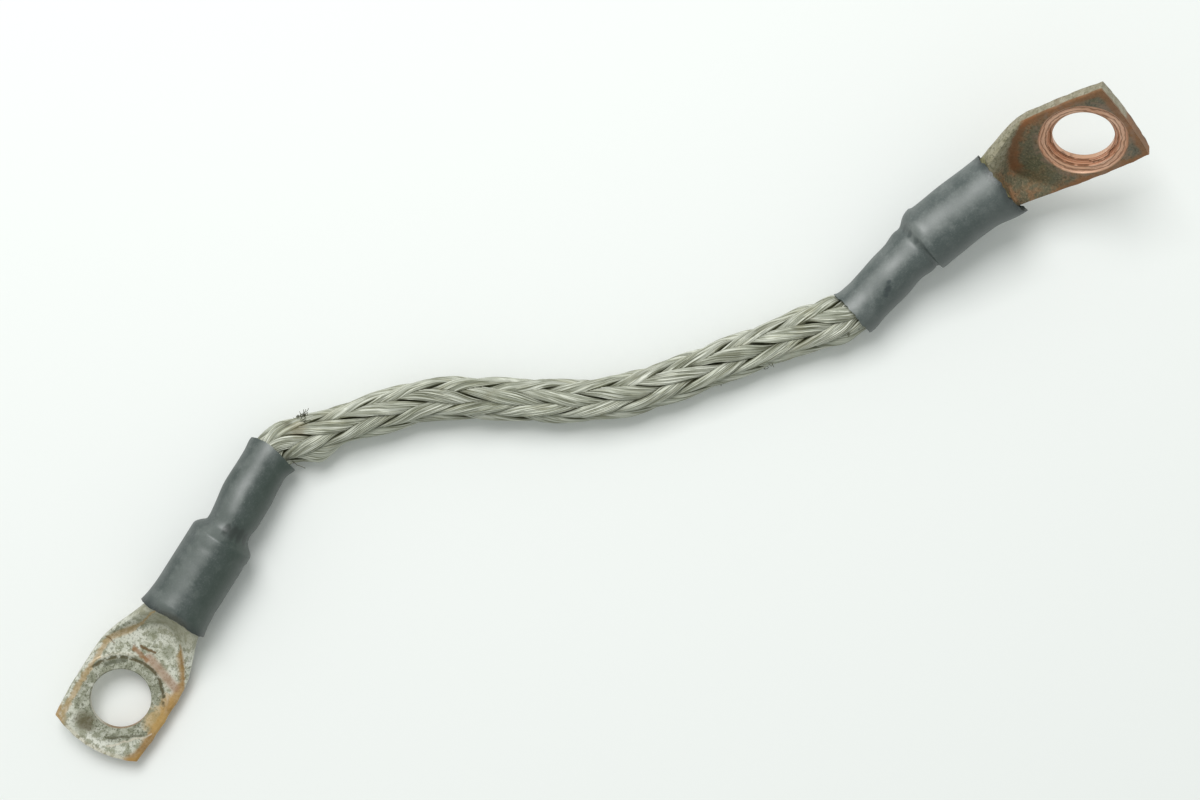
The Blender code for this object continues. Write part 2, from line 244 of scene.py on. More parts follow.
class Skin:
    """Lofted tubes gathered into one mesh, with a texture coordinate for each point."""

    def __init__(self):
        self.points = []
        self.lay = []
        self.deep = []
        self.faces = []
        self.count = 0

    def loft(self, rings, lay, deep=None, closed_loop=False):
        """rings is an array of ring, point and XYZ; lay has the same form."""
        ring_count, side_count = rings.shape[:2]
        index = self.count + np.arange(ring_count * side_count).reshape(ring_count, side_count)
        above = np.roll(index, -1, axis=0)
        quads = np.stack((index, np.roll(index, -1, axis=1), np.roll(above, -1, axis=1), above), axis=-1)
        self.faces += quads[:None if closed_loop else -1].reshape(-1, 4).tolist()
        if not closed_loop:
            self.faces.append(index[0][::-1].tolist())
            self.faces.append(index[-1].tolist())
        self.points.append(rings.reshape(-1, 3))
        self.lay.append(lay.reshape(-1, 3))
        self.deep.append(np.zeros(ring_count * side_count) if deep is None else deep.reshape(-1))
        self.count += ring_count * side_count

    def make(self, name, material, sharp_degrees=40.0):
        mesh = bpy.data.meshes.new(name)
        mesh.from_pydata(np.concatenate(self.points).tolist(), [], self.faces)
        write_attribute(mesh, "lay", np.concatenate(self.lay))
        write_attribute(mesh, "deep", np.concatenate(self.deep))
        face_outwards(mesh)
        mesh.shade_smooth()
        mesh.set_sharp_from_angle(angle=radians(sharp_degrees))
        mesh.materials.append(material)
        return add_object(name, mesh)


def write_attribute(mesh, name, values):
    """Store a number or a vector for each point of the mesh."""
    kind, field = ("FLOAT_VECTOR", "vector") if values.ndim == 2 else ("FLOAT", "value")
    attribute = mesh.attributes.new(name, kind, "POINT")
    attribute.data.foreach_set(field, values.astype(np.float32).reshape(-1))


def face_outwards(mesh):
    """Turn the faces over where the closed mesh has its inside out."""
    volume = 0.0
    mesh.calc_loop_triangles()
    for triangle in mesh.loop_triangles:
        first, second, third = (mesh.vertices[index].co for index in triangle.vertices)
        volume += first.dot(second.cross(third))
    if volume < 0.0:
        mesh.flip_normals()


# Shader fields


def shade(red, green, blue):
    """A surface colour from its 0 to 255 display values."""
    linear = [value / 255.0 / 12.92 if value <= 10 else ((value / 255.0 + 0.055) / 1.055) ** 2.4
              for value in (red, green, blue)]
    return (*linear, 1.0)


class Field:
    """A number, colour or vector that varies over a surface."""

    def __init__(self, graph, socket):
        self.graph = graph
        self.socket = socket

    def __add__(self, other):
        return self.graph.math("ADD", self, other)

    def __sub__(self, other):
        return self.graph.math("SUBTRACT", self, other)

    def __rsub__(self, other):
        return self.graph.math("SUBTRACT", other, self)

    def __mul__(self, other):
        return self.graph.math("MULTIPLY", self, other)

    __radd__ = __add__
    __rmul__ = __mul__


class Graph:
    """A material and short names for the nodes that it is made of."""

    def __init__(self, name):
        self.material = bpy.data.materials.new(name)
        self.material.use_nodes = True
        self.nodes = self.material.node_tree.nodes
        self.links = self.material.node_tree.links
        self.shader = self.nodes["Principled BSDF"]
        self.colour = None

    def node(self, kind, inputs, output=0, **settings):
        made = self.nodes.new("ShaderNode" + kind)
        for setting, value in settings.items():
            setattr(made, setting, value)
        for socket, value in inputs.items():
            self.feed(made.inputs[socket], value)
        return Field(self, made.outputs[output])

    def feed(self, socket, value):
        if isinstance(value, Field):
            self.links.new(value.socket, socket)
        else:
            socket.default_value = value

    def set(self, **values):
        for socket, value in values.items():
            self.feed(self.shader.inputs[socket.replace("_", " ")], value)

    def attribute(self, name, output="Fac"):
        made = self.nodes.new("ShaderNodeAttribute")
        made.attribute_name = name
        return Field(self, made.outputs[output])

    def math(self, operation, first, second=0.0, clamp=False):
        return self.node("Math", {0: first, 1: second}, operation=operation, use_clamp=clamp)

    def vector_math(self, operation, *inputs, output=0):
        return self.node("VectorMath", dict(enumerate(inputs)), output, operation=operation)

    def rise(self, value, low, high):
        """0 below low, 1 above high, smooth between."""
        return self.node("MapRange", {"Value": value, "From Min": low, "From Max": high},
                         interpolation_type="SMOOTHSTEP")

    def fall(self, value, low, high):
        return 1.0 - self.rise(value, low, high)

    def band(self, value, middle, half_width):
        """1 at the middle, 0 past half_width on either side."""
        return self.fall(self.math("ABSOLUTE", value - middle), half_width * 0.3, half_width)

    def stretch(self, vector, scale, offset=(0.0, 0.0, 0.0)):
        return self.vector_math("MULTIPLY_ADD", vector, scale, offset)

    def facing(self, lay, side):
        """How far a point of a tube lies towards one side of it, given in degrees."""
        towards = (0.0, cos(radians(side)), sin(radians(side)))
        return self.vector_math("DOT_PRODUCT", lay, towards, output="Value")

    def away(self, place, centre):
        """Distance from a point, or in the plane of the palm where its third number is left out."""
        height = 1.0 if len(centre) == 3 else 0.0
        offset = [-value for value in centre] + [0.0] * (3 - len(centre))
        flat = self.stretch(place, (1.0, 1.0, height), offset)
        return self.vector_math("LENGTH", flat, output="Value")

    def blot(self, apart, radius, uneven, core=0.4):
        """A soft round mark, from its distance field; uneven breaks up its border."""
        return self.fall(apart + uneven * radius, radius * core, radius)

    def part(self, vector, axis):
        return self.node("SeparateXYZ", {0: vector}, output=axis)

    def noise(self, vector, scale=1.0, detail=3.0, roughness=0.55):
        return self.node("TexNoise", {"Vector": vector, "Scale": scale, "Detail": detail,
                                      "Roughness": roughness})

    def mix(self, share, low, high):
        """Blend two colours, each a field or a tone in 0 to 255 display values."""
        low, high = (tone if isinstance(tone, Field) else shade(*tone) for tone in (low, high))
        return self.node("Mix", {0: share, 6: low, 7: high}, output=2, data_type="RGBA")

    def paint(self, share, tone):
        """Lay a colour over what is painted so far."""
        self.colour = self.mix(share, self.colour, tone)

    def finish(self, **values):
        """Give the shader the painted colour and its other values."""
        self.set(Base_Color=self.colour, **values)
        return self.material

    def bump(self, height, distance, strength):
        return self.node("Bump", {"Height": height, "Distance": distance, "Strength": strength})

    def wobble(self, lay):
        """The texture coordinate shifted a little, so that marks aren't ruled lines."""
        shift = self.node("TexNoise", {"Vector": lay, "Scale": 0.8}, output="Color")
        return self.vector_math("ADD", lay, self.stretch(shift, (0.9, 0.9, 0.0), (-0.45, -0.45, 0.0)))

    def stroke(self, lay, start, end, half_width):
        """A soft straight mark on the palm, between two points in millimetres."""
        along = Vector((end[0] - start[0], end[1] - start[1], 0.0))
        flat = self.stretch(lay, (1.0, 1.0, 0.0), (-start[0], -start[1], 0.0))
        run = self.vector_math("DOT_PRODUCT", flat, along, output="Value")
        share = self.math("MULTIPLY", run, 1.0 / along.length_squared, clamp=True)
        foot = self.node("VectorMath", {0: along, "Scale": share}, operation="SCALE")
        apart = self.vector_math("DISTANCE", flat, foot, output="Value")
        return self.fall(apart, half_width * 0.25, half_width)


# Cable lugs


class Lug:
    """A cable lug. In its own frame X runs from the barrel's mouth to the palm, Z is up."""

    def __init__(self, mouth, heading, pitch, roll, bend, tip, sleeve):
        """Places and sizes in mm, angles in degrees."""
        turn = Matrix.Rotation(radians(heading), 4, "Z")
        lift = Matrix.Rotation(radians(-pitch), 4, "Y")
        lean = Matrix.Rotation(radians(roll), 4, "X")
        self.place = Matrix.Translation(Vector(mouth) * MM) @ turn @ lift @ lean
        self.bend = radians(bend)
        self.tip_width, self.tip_bulge, self.flat_from = (size * MM for size in tip)
        self.cover, self.shoulder, self.sleeve_end = (size * MM for size in sleeve)

    def put(self, points):
        """Carry points of the straight barrel to their place."""
        matrix = np.array(self.place)
        return points @ matrix[:3, :3].T + matrix[:3, 3]

    def put_bent(self, points):
        """Carry points of the straight lug to one bent where its sleeve ends."""
        if self.bend == 0.0:
            return self.put(points)
        run = np.maximum(points[:, 0] - self.sleeve_end, 0.0)
        angle = self.bend * np.minimum(run / BEND_LENGTH, 1.0)
        radius = BEND_LENGTH / self.bend
        height = points[:, 2] + PALM_OFFSET
        past = np.maximum(run - BEND_LENGTH, 0.0)
        curled = points.copy()
        curled[:, 0] = self.sleeve_end + (radius - height) * np.sin(angle) + past * np.cos(angle)
        curled[:, 2] = radius - (radius - height) * np.cos(angle) + past * np.sin(angle) - PALM_OFFSET
        return self.put(np.where((run > 0.0)[:, None], curled, points))

    def arch(self, across):
        """Station at which the upper face is flat: soonest in the middle, later at the sides."""
        return mix(self.flat_from, NECK_END, np.clip(across, -1.0, 1.0) ** 2)


# Tip: width, bulge and where the face is flat. Sleeve: cover of the plait, shoulder and end
LUG_A = Lug((-66.0, 6.3, 6.0), heading=207.9, pitch=0.3, roll=-9.0, bend=0.0,
            tip=(16.4, 1.9, 18.0), sleeve=(18.3, 0.1, 15.8))
LUG_B = Lug((68.2, -9.4, 7.7), heading=7.7, pitch=12.7, roll=33.8, bend=27.0,
            tip=(16.6, 0.4, 19.0), sleeve=(19.5, 1.4, 14.6))


def palm_half_width(lug, station):
    """Half the pressed width: narrow at the neck, widest at the hole, eased in at the tip."""
    opening = ease((station - NECK_END + NECK_LENGTH / 3.0) / (HOLE_FROM_MOUTH - NECK_END))
    closing = np.clip((station - HOLE_FROM_MOUTH) / HOLE_TO_TIP, 0.0, 1.0)
    return mix(mix(NECK_WIDTH, PALM_WIDTH, opening), lug.tip_width, closing * closing) / 2.0


def lug_outline(lug, station, grow=0.0):
    """Y and Z round the lug at a station: a circle that is pressed into a flat section."""
    half_width = palm_half_width(lug, station)
    half_height = PALM_THICKNESS / 2.0
    reach = half_width - PALM_EDGE_RADIUS
    rise = half_height - PALM_EDGE_RADIUS
    corner_points = ROUND_SIDES // 12
    flat_points = ROUND_SIDES // 2 - 2 * corner_points
    turn = turns(4 * corner_points, 0.5)[:corner_points]
    corner = (reach, rise) + PALM_EDGE_RADIUS * unit_circle(turn)
    top = np.stack((np.linspace(reach, -reach, flat_points), np.full(flat_points, half_height)), 1)
    half = np.concatenate((corner, top, corner[::-1] * (-1.0, 1.0)))
    flat = np.concatenate((half, -half)) + (0.0, half_height - PALM_OFFSET)
    circle = unit_circle(turns(ROUND_SIDES, 0.5)) * BARREL_DIAMETER / 2.0
    spread = ease((station - BARREL_LENGTH) / NECK_LENGTH)
    above = np.arange(ROUND_SIDES) < ROUND_SIDES // 2
    arch = (station - BARREL_LENGTH) / (lug.arch(flat[:, 0] / half_width) - BARREL_LENGTH)
    arch = np.clip(arch, 0.0, 1.0)
    sunk = np.where(above, arch * arch * (1.0 + NECK_DROP * (1.0 - arch)), spread)
    outline = np.stack((mix(circle[:, 0], flat[:, 0], spread), mix(circle[:, 1], flat[:, 1], sunk)), 1)
    if grow == 0.0:
        return outline
    along = np.roll(outline, -1, axis=0) - np.roll(outline, 1, axis=0)
    return outline + unit(np.stack((along[:, 1], -along[:, 0]), 1)) * grow


def make_lug(name, lug, worn, material):
    """Loft the straight lug, cut its hole, knock its edges about, then bend and place it."""
    bore = BARREL_DIAMETER / 2.0 - BARREL_WALL
    circle = unit_circle(turns(ROUND_SIDES, 0.5))
    rings = []
    for station, radius in ((BORE_DEPTH + BORE_TIP_LENGTH, BORE_TIP_RADIUS), (BORE_DEPTH, bore), (0.0, bore)):
        rings.append(np.column_stack((np.full(ROUND_SIDES, station), radius * circle)))
    tip = HOLE_FROM_MOUTH + HOLE_TO_TIP
    stations = np.concatenate(((0.0, MOUTH_CHAMFER), np.linspace(BARREL_LENGTH, tip, LUG_RINGS)))
    for station in stations:
        section = lug_outline(lug, station, -MOUTH_CHAMFER if station == 0.0 else 0.0)
        share = max(0.0, (station - HOLE_FROM_MOUTH) / HOLE_TO_TIP)
        across = section[:, 0] / (lug.tip_width / 2.0)
        bulge = lug.tip_bulge * share * np.maximum(0.0, 1.0 - across ** 2)
        rings.append(np.column_stack((station + bulge, section)))
    rings = np.array(rings)
    blank = Skin()
    blank.loft(rings, rings)
    body = blank.make(name, material)
    cut_hole(body, worn)
    mesh = body.data
    points = np.empty((len(mesh.vertices), 3))
    mesh.vertices.foreach_get("co", points.reshape(-1))
    points = knock_edges(lug, points, worn)
    write_wear(mesh, lug, points)
    mesh.vertices.foreach_set("co", lug.put_bent(points).reshape(-1))
    mesh.shade_smooth()
    mesh.set_sharp_from_angle(angle=radians(28.0))
    return body


def cut_hole(body, worn):
    """Cut the bolt hole with a turned profile: chamfered, or worn to a grooved dish."""
    radius = HOLE_DIAMETER / 2.0
    clear = 2.0 * MM
    below = -PALM_THICKNESS - clear
    foot = -PALM_THICKNESS + HOLE_CHAMFER
    profile = [(radius + clear, below), (radius + HOLE_CHAMFER, -PALM_THICKNESS), (radius, foot)]
    if worn:
        funnel = FUNNEL_DIAMETER / 2.0
        rim = DISH_DIAMETER / 2.0
        for share in np.linspace(0.0, 1.0, GROOVE_COUNT * GROOVE_STEPS + 1):
            groove = GROOVE_DEPTH * sin(2.0 * pi * GROOVE_COUNT * share)
            depth = mix(FUNNEL_DEPTH, DISH_DEPTH, share ** FUNNEL_CURVE)
            profile.append((mix(radius, funnel, share) + groove * 0.6, -depth - groove))
        for share in np.linspace(0.0, 1.0, DISH_STEPS + 1)[1:]:
            groove = GROOVE_DEPTH * 0.5 * sin(4.0 * pi * share)
            profile.append((mix(funnel, rim - DISH_DEPTH, share), -DISH_DEPTH - groove))
        profile += [(rim, 0.0), (rim + DISH_DEPTH, clear)]
    else:
        profile += [(radius, -HOLE_CHAMFER), (radius + HOLE_CHAMFER, 0.0), (radius + clear, clear)]
    circle = unit_circle(turns(HOLE_SIDES))
    top = PALM_THICKNESS - PALM_OFFSET
    rings = np.array([np.column_stack((reach * circle + (HOLE_FROM_MOUTH, 0.0),
                                       np.full(HOLE_SIDES, top + height))) for reach, height in profile])
    tool = Skin()
    tool.loft(rings, rings)
    cutter = tool.make("hole_cutter", body.data.materials[0])
    cut = body.modifiers.new("hole", "BOOLEAN")
    cut.operation = "DIFFERENCE"
    cut.solver = "EXACT"
    cut.object = cutter
    bpy.context.view_layer.update()
    done = body.evaluated_get(bpy.context.evaluated_depsgraph_get())
    cleaned = bpy.data.meshes.new_from_object(done)
    body.modifiers.clear()
    body.data = cleaned
    bpy.data.objects.remove(cutter, do_unlink=True)


def knock_edges(lug, points, worn):
    """Small dents and waves on the palm's faces and edges."""
    random = np.random.default_rng(11 if worn else 7)
    x, y = points[:, 0], points[:, 1]
    palm = ease((x - BARREL_LENGTH) / NECK_LENGTH)
    moved = points.copy()
    waves = [drift(random, length * MM) for length in (9.0, 11.0, 4.0, 3.0)]
    side = ease(np.abs(y) / palm_half_width(lug, x) * 4.0 - 3.0)
    tip = ease((x - HOLE_FROM_MOUTH) / HOLE_TO_TIP * 4.0 - 3.0)
    moved[:, 2] += palm * FACE_WAVE * waves[0](x + y * 0.7) * waves[1](y - x * 0.4)
    moved[:, 1] += palm * side * SIDE_WAVE * waves[2](x + points[:, 2])
    moved[:, 0] += palm * tip * TIP_WAVE * waves[3](y)
    return moved


def write_wear(mesh, lug, points):
    """Texture coordinate, and distances in from the palm's edge, its arch and its top, in mm."""
    x, y, z = points.T
    half_width = palm_half_width(lug, x)
    tip = HOLE_FROM_MOUTH + HOLE_TO_TIP - x + lug.tip_bulge * (1.0 - (y / lug.tip_width * 2.0) ** 2)
    for name in ("lay", "deep"):
        if name in mesh.attributes:
            mesh.attributes.remove(mesh.attributes[name])
    write_attribute(mesh, "lay", points / MM)
    write_attribute(mesh, "edge", np.minimum(half_width - np.abs(y), tip) / MM)
    write_attribute(mesh, "face", (x - lug.arch(y / half_width)) / MM)
    write_attribute(mesh, "deep", (PALM_THICKNESS - PALM_OFFSET - z) / MM)


# Centreline of the plait


class Route:
    """Smooth curve through the plait's points, with a frame that doesn't spin along it."""

    def __init__(self, points, start_normal):
        points = np.array(points)
        padded = np.concatenate(([points[0] * 2.0 - points[1]], points, [points[-1] * 2.0 - points[-2]]))
        places = [points[0]]
        for index in range(1, len(padded) - 2):
            for step in range(1, CURVE_STEPS + 1):
                places.append(self.blend(padded[index - 1:index + 3], step / CURVE_STEPS))
        self.places = np.array(places)
        gaps = np.linalg.norm(np.diff(self.places, axis=0), axis=1)
        self.runs = np.concatenate(((0.0,), np.cumsum(gaps)))
        self.length = self.runs[-1]
        self.headings = unit(np.gradient(self.places, axis=0))
        normals = []
        normal = np.array(start_normal)
        for heading in self.headings:
            normal = unit(normal - heading * normal.dot(heading))
            normals.append(normal)
        self.normals = np.array(normals)

    @staticmethod
    def blend(quad, share):
        """Catmull-Rom curve between the two middle points of four."""
        first, second, third, fourth = quad
        return 0.5 * (second * 2.0 + (third - first) * share
                      + (first * 2.0 - second * 5.0 + third * 4.0 - fourth) * share ** 2
                      + (second * 3.0 - first - third * 3.0 + fourth) * share ** 3)

    def at(self, run, table):
        return np.stack([np.interp(run, self.runs, table[:, axis]) for axis in range(3)], -1)

    def frame(self, run):
        """Point, heading, normal and binormal at lengths along the curve."""
        place = self.at(run, self.places)
        heading = unit(self.at(run, self.headings))
        normal = self.at(run, self.normals)
        normal = unit(normal - heading * (normal * heading).sum(-1)[..., None])
        return place, heading, normal, np.cross(heading, normal)


def plait_route():
    """Route from the bottom of one bore to the bottom of the other, straight in each."""
    inside = (PLAIT_IN_BORE, PLAIT_IN_BORE / 2.0, 0.0, -PLAIT_EASE)
    points = [LUG_A.place @ Vector((depth, 0.0, 0.0)) for depth in inside]
    points += [Vector(point) * MM for point in ROUTE]
    points += [LUG_B.place @ Vector((depth, 0.0, 0.0)) for depth in reversed(inside)]
    return Route(points, LUG_A.place.to_3x3() @ Vector((0.0, 0.0, 1.0)))


# Plait


def over_under(angle):
    """How far out the strands of the first set ride: 1 when over, -1 when under."""
    wave = np.cos(STRANDS_EACH_WAY / 2.0 * angle + pi / 4.0)
    return np.tanh(WEAVE_SQUARENESS * wave) / tanh(WEAVE_SQUARENESS)


def plait_scale(run, length):
    """Squeeze of the plait's section: held in by bore and sleeve, loose by the second sleeve."""
    held = (BARREL_DIAMETER / 2.0 - BARREL_WALL - PLAIT_GAP) / PLAIT_RADIUS
    past_first = run - PLAIT_IN_BORE - LUG_A.cover
    beyond = length - run - PLAIT_IN_BORE - LUG_B.cover
    free = ease(np.minimum(past_first, beyond) / PLAIT_EASE)
    flare = FLARE_AT_SECOND_LUG * np.sin(pi * np.clip(beyond / FLARE_LENGTH, 0.0, 1.0))
    slack = PLAIT_SLACK * ease(past_first / SLACK_EASE[0]) * ease(beyond / SLACK_EASE[1])
    return mix(held, 1.0 - slack, free) + flare


def plait_lumps(run, turn):
    """Local bulges and hollows of the plait, where strands have slipped at its bends."""
    return MM * sum(height * hump(run / MM, place, half_length) * around(turn, side, half_side)
                    for place, half_length, side, half_side, height in PLAIT_LUMPS)


def strand_runs(length):
    """Lengths along the route at which strands have a ring, wide apart where they are hidden."""
    covered = PLAIT_IN_BORE + LUG_A.cover - 2.0 * MM
    hidden = np.linspace(0.0, covered, round(covered / HIDDEN_STEP), endpoint=False)
    shown = np.linspace(covered, length - covered, round((length - 2.0 * covered) / SHOWN_STEP))
    return np.concatenate((hidden, shown, length - hidden[::-1]))


def add_strand(skin, route, number, hand):
    """One strand of ridged wires, from the bottom of one bore to the other."""
    random = np.random.default_rng(100 + number * 2 + (hand > 0))
    runs = strand_runs(route.length)
    place, _, normal, binormal = route.frame(runs)
    sway = drift(random, 17.0 * MM)(runs) * radians(STRAND_SWAY)
    angle = 2.0 * pi * (number / STRANDS_EACH_WAY + hand * runs / PLAIT_LEAD) + sway
    over = hand * over_under(angle)
    width = mix(WIDTH_UNDER, WIDTH_OVER, (over + 1.0) / 2.0) * (1.0 + 0.07 * drift(random, 12.0 * MM)(runs))
    half_angle = pi / STRANDS_EACH_WAY * width
    across, bow = strand_profile(random, runs)
    turn = angle[:, None] + across * half_angle[:, None]
    weave = mix(over[:, None], hand * over_under(turn), STRAND_LEAN)
    middle = PLAIT_RADIUS - WEAVE_DEPTH - STRAND_THICKNESS / 2.0
    swell = STRAND_SWELL * drift(random, 13.0 * MM)(runs)[:, None]
    radius = middle + WEAVE_DEPTH * weave + bow + swell
    reach = radius * plait_scale(runs, route.length)[:, None] + plait_lumps(runs[:, None], turn)
    rings = (place[:, None] + normal[:, None] * (reach * np.cos(turn))[..., None]
             + binormal[:, None] * (reach * np.sin(turn))[..., None])
    rings[..., 2] = np.maximum(rings[..., 2], TABLE_CLEARANCE)
    lay = np.stack((across * 1.6 + 10.0 * number, np.broadcast_to(runs[:, None] / MM, across.shape),
                    np.full(across.shape, 5.0 * hand)), -1)
    # Extra depth at each strand's edges, so that the wire's painted crack shade reaches them.
    border = 0.4 * ease((np.abs(across) - 0.8) / 0.18)
    skin.loft(rings, lay, (PLAIT_RADIUS - radius) / MM + border)


def strand_profile(random, runs):
    """Places across a strand, -1 to 1, and heights over its middle: wires side by side."""
    spacing = 2.0 / WIRES_ACROSS
    outer = np.empty((len(runs), 2 * WIRES_ACROSS - 1))
    ridge = np.full_like(outer, -WIRE_RIDGE)
    for wire in range(WIRES_ACROSS):
        wander = WIRE_WANDER * spacing * drift(random, 22.0 * MM)(runs)
        outer[:, 2 * wire] = spacing * (wire + 0.5) - 1.0 + wander
        proud = np.maximum(0.0, drift(random, 12.0 * MM)(runs) - 0.35) * PROUD_WIRE
        ridge[:, 2 * wire] = WIRE_RIDGE * random.uniform(0.5, 1.5) + proud
    crests = np.sort(np.clip(outer[:, 0::2], -0.985, 0.985), axis=1)
    outer[:, 0::2] = crests
    outer[:, 1::2] = (crests[:, 1:] + crests[:, :-1]) / 2.0
    half = STRAND_THICKNESS / 2.0
    heights = half * np.sqrt(np.maximum(0.0, 1.0 - np.abs(outer) ** STRAND_FLATNESS)) + ridge
    rows = np.ones((len(runs), 1))
    under = np.array((0.6, 0.0, -0.6))
    across = np.concatenate((-rows, outer, rows, rows * under), axis=1)
    under_bow = -half * np.sqrt(1.0 - under ** 2)
    bow = np.concatenate((rows * 0.0, heights, rows * 0.0, rows * under_bow), axis=1)
    return across, bow


def make_plait(route, material):
    skin = Skin()
    for number in range(STRANDS_EACH_WAY):
        add_strand(skin, route, number, 1)
        add_strand(skin, route, number, -1)
    return skin.make("plait", material, 75.0)


def add_hair(skin, start, way, length, random):
    """One loose wire, curling as it goes, that starts just inside the plait."""
    share = np.linspace(0.0, 1.0, HAIR_POINTS)
    curl = random.normal(0.0, 1.0, 3) * 0.5
    bend = share ** 2 * length
    line = start + np.outer(share * length, way) + np.outer(bend, curl - (0.0, 0.0, HAIR_DROOP))
    first, second = random.normal(0.0, HAIR_CURL, (2, 3))
    twist = share * random.uniform(5.0, 11.0)
    line = line + np.outer(np.sin(twist), first) + np.outer(1.0 - np.cos(twist), second)
    line[:, 2] = np.maximum(line[:, 2], HAIR_RADIUS * 1.5)
    heading = unit(np.gradient(line, axis=0))
    side = unit(np.cross(heading, (0.31, 0.17, 0.93)))
    other = np.cross(heading, side)
    turn = turns(HAIR_SIDES)[:, None]
    rings = line[:, None] + HAIR_RADIUS * (side[:, None] * np.cos(turn) + other[:, None] * np.sin(turn))
    skin.loft(rings, rings / MM)


def make_loose_wires(route, material):
    """Broken wires that stand out of the plait: a tuft at its first bend, a few elsewhere."""
    random = np.random.default_rng(21)
    skin = Skin()
    for place, side, count, spread, reach in LOOSE_WIRES:
        for _ in range(count):
            run = place * MM + random.normal(0.0, spread * MM)
            turn = radians(side + random.normal(0.0, 9.0))
            centre, heading, normal, binormal = route.frame(run)
            outward = normal * cos(turn) + binormal * sin(turn)
            radius = PLAIT_RADIUS * plait_scale(run, route.length) * HAIR_ROOT
            way = unit(outward * random.uniform(0.25, 1.0) + heading * random.normal(0.0, 0.8))
            length = reach * MM * random.uniform(0.5, 1.2)
            add_hair(skin, centre + outward * radius, way, length, random)
    return skin.make("loose_wires", material, 75.0)


# Heat-shrink sleeves


def sleeve_radius(lug, station):
    """Outer radius over the plait side, where station runs from the mouth (below 0) to 0."""
    slim = BARREL_DIAMETER / 2.0 - BARREL_WALL + SLEEVE_WALL
    wide = BARREL_DIAMETER / 2.0 + SLEEVE_GAP + SLEEVE_WALL
    low = -lug.shoulder - SLEEVE_STEP
    step = ease((station - low) / SLEEVE_STEP)
    belly = SLEEVE_BELLY * hump(station, low - 6.5 * MM, 3.0 * MM)
    return mix(slim, wide, step) + belly


def near_mouth(lug, station, length):
    """1 at the sleeve's plait end, falling to 0 over a length, in mm."""
    return ease((-station - lug.cover / MM) / length + 1.0)


def near_lug_end(lug, station, length):
    """1 at the sleeve's lug end, falling to 0 over a length, in mm."""
    return ease((station - lug.sleeve_end / MM) / length + 1.0)


def ragged(lug, station, angle, depth, seed):
    """Rough cut of the sleeve's two ends, as a shift along it, in mm."""
    random = np.random.default_rng(seed)
    wave = sum(np.sin(number * angle + random.uniform(0.0, 6.28)) * share
               for number, share in RAGGED_WAVES)
    return depth * wave * (near_lug_end(lug, station, 1.5) + 0.6 * near_mouth(lug, station, 1.5))


def sleeve_a_details(station, angle):
    """Push outwards and along, in mm: a pinch and collar at the step, a lip, and a flared end."""
    inner_side = np.cos(angle - radians(50.0))
    mouth = near_mouth(LUG_A, station, 4.0)
    push = (-0.36 * hump(station, -2.9, 1.3) * (0.7 + 0.7 * inner_side)
            + 0.05 * hump(station, 0.7, 1.0) * (0.6 + 0.6 * inner_side)
            - 0.14 * hump(station, 2.0, 0.7) * np.maximum(inner_side, 0.0)
            + 0.10 * hump(station, -8.0, 5.0) * np.sin(2.0 * angle + station / 2.4)
            + 0.30 * hump(station, -LUG_A.cover / MM, 1.4) * around(angle, 175.0, 40.0)
            + 0.30 * near_lug_end(LUG_A, station, 5.0)
            + 0.70 * mouth * around(angle, 15.0, 32.0))
    along = mouth * (1.2 * around(angle, 185.0, 50.0) + 0.2 * around(angle, 60.0, 50.0))
    return push, along + ragged(LUG_A, station, angle, 0.12, 3)


def sleeve_b_details(station, angle):
    """Push outwards and along, in mm: a grooved step, and a torn tab bent out at the lug's end."""
    mouth = near_mouth(LUG_B, station, 4.0)
    tab = around(angle, 148.0, 24.0)
    push = (-0.40 * hump(station, -2.7, 0.8) * (0.15 + around(angle, 5.0, 45.0))
            + 0.14 * hump(station, -0.8, 0.7) * (0.6 + around(angle, -20.0, 50.0))
            - 0.12 * hump(station, -6.5, 2.5)
            + 0.25 * hump(station, -4.5, 1.5) * around(angle, -30.0, 40.0)
            + 0.07 * hump(station, 5.0, 8.0) * np.sin(3.0 * angle + station / 1.9)
            + 1.05 * hump(station, -4.3, 2.4) * around(angle, 118.0, 44.0)
            + 0.25 * mouth
            + 1.15 * tab * near_lug_end(LUG_B, station, 6.0) ** 1.5)
    along = (0.8 * tab * near_lug_end(LUG_B, station, 3.0)
             + mouth * (1.1 * around(angle, 146.0, 60.0) - around(angle, -34.0, 60.0)))
    return push, along + ragged(LUG_B, station, angle, 0.3, 5)


def make_sleeve(name, lug, route, towards_end, details, material):
    """Thin tube on the lug's barrel and neck that steps down onto the plait."""
    stations = np.linspace(-lug.cover, lug.sleeve_end, SLEEVE_RINGS)
    angle = turns(ROUND_SIDES, 0.5)
    up = np.array(lug.place.to_3x3() @ Vector((0.0, 0.0, 1.0)))
    outer, inner = [], []
    for station in stations:
        push, along = (shift * MM for shift in details(station / MM, angle))
        if station < 0.0:
            run = PLAIT_IN_BORE - station
            place, heading, _, _ = route.frame(route.length - run if towards_end else run)
            out = heading if towards_end else -heading
            normal = unit(up - out * up.dot(out))
            side = np.cross(normal, out)
            outward = side * np.cos(angle)[:, None] + normal * np.sin(angle)[:, None]
            reach = (sleeve_radius(lug, station) + push)[:, None]
            centres = place + out * along[:, None]
            outer.append(centres + outward * reach)
            inner.append(centres + outward * (reach - SLEEVE_WALL))
        else:
            for rings, grow in ((outer, SLEEVE_GAP + SLEEVE_WALL), (inner, SLEEVE_GAP)):
                section = lug_outline(lug, station, grow)
                section = section + unit(section) * push[:, None]
                rings.append(lug.put(np.column_stack((station + along, section))))
    along = np.concatenate((stations, stations[::-1]))[:, None] / MM
    across, height = SLEEVE_LAY_RADIUS * unit_circle(angle).T
    skin = Skin()
    skin.loft(np.array(outer + inner[::-1]), np.stack(np.broadcast_arrays(along, across, height), -1),
              closed_loop=True)
    return skin.make(name, material, 50.0)


# Materials


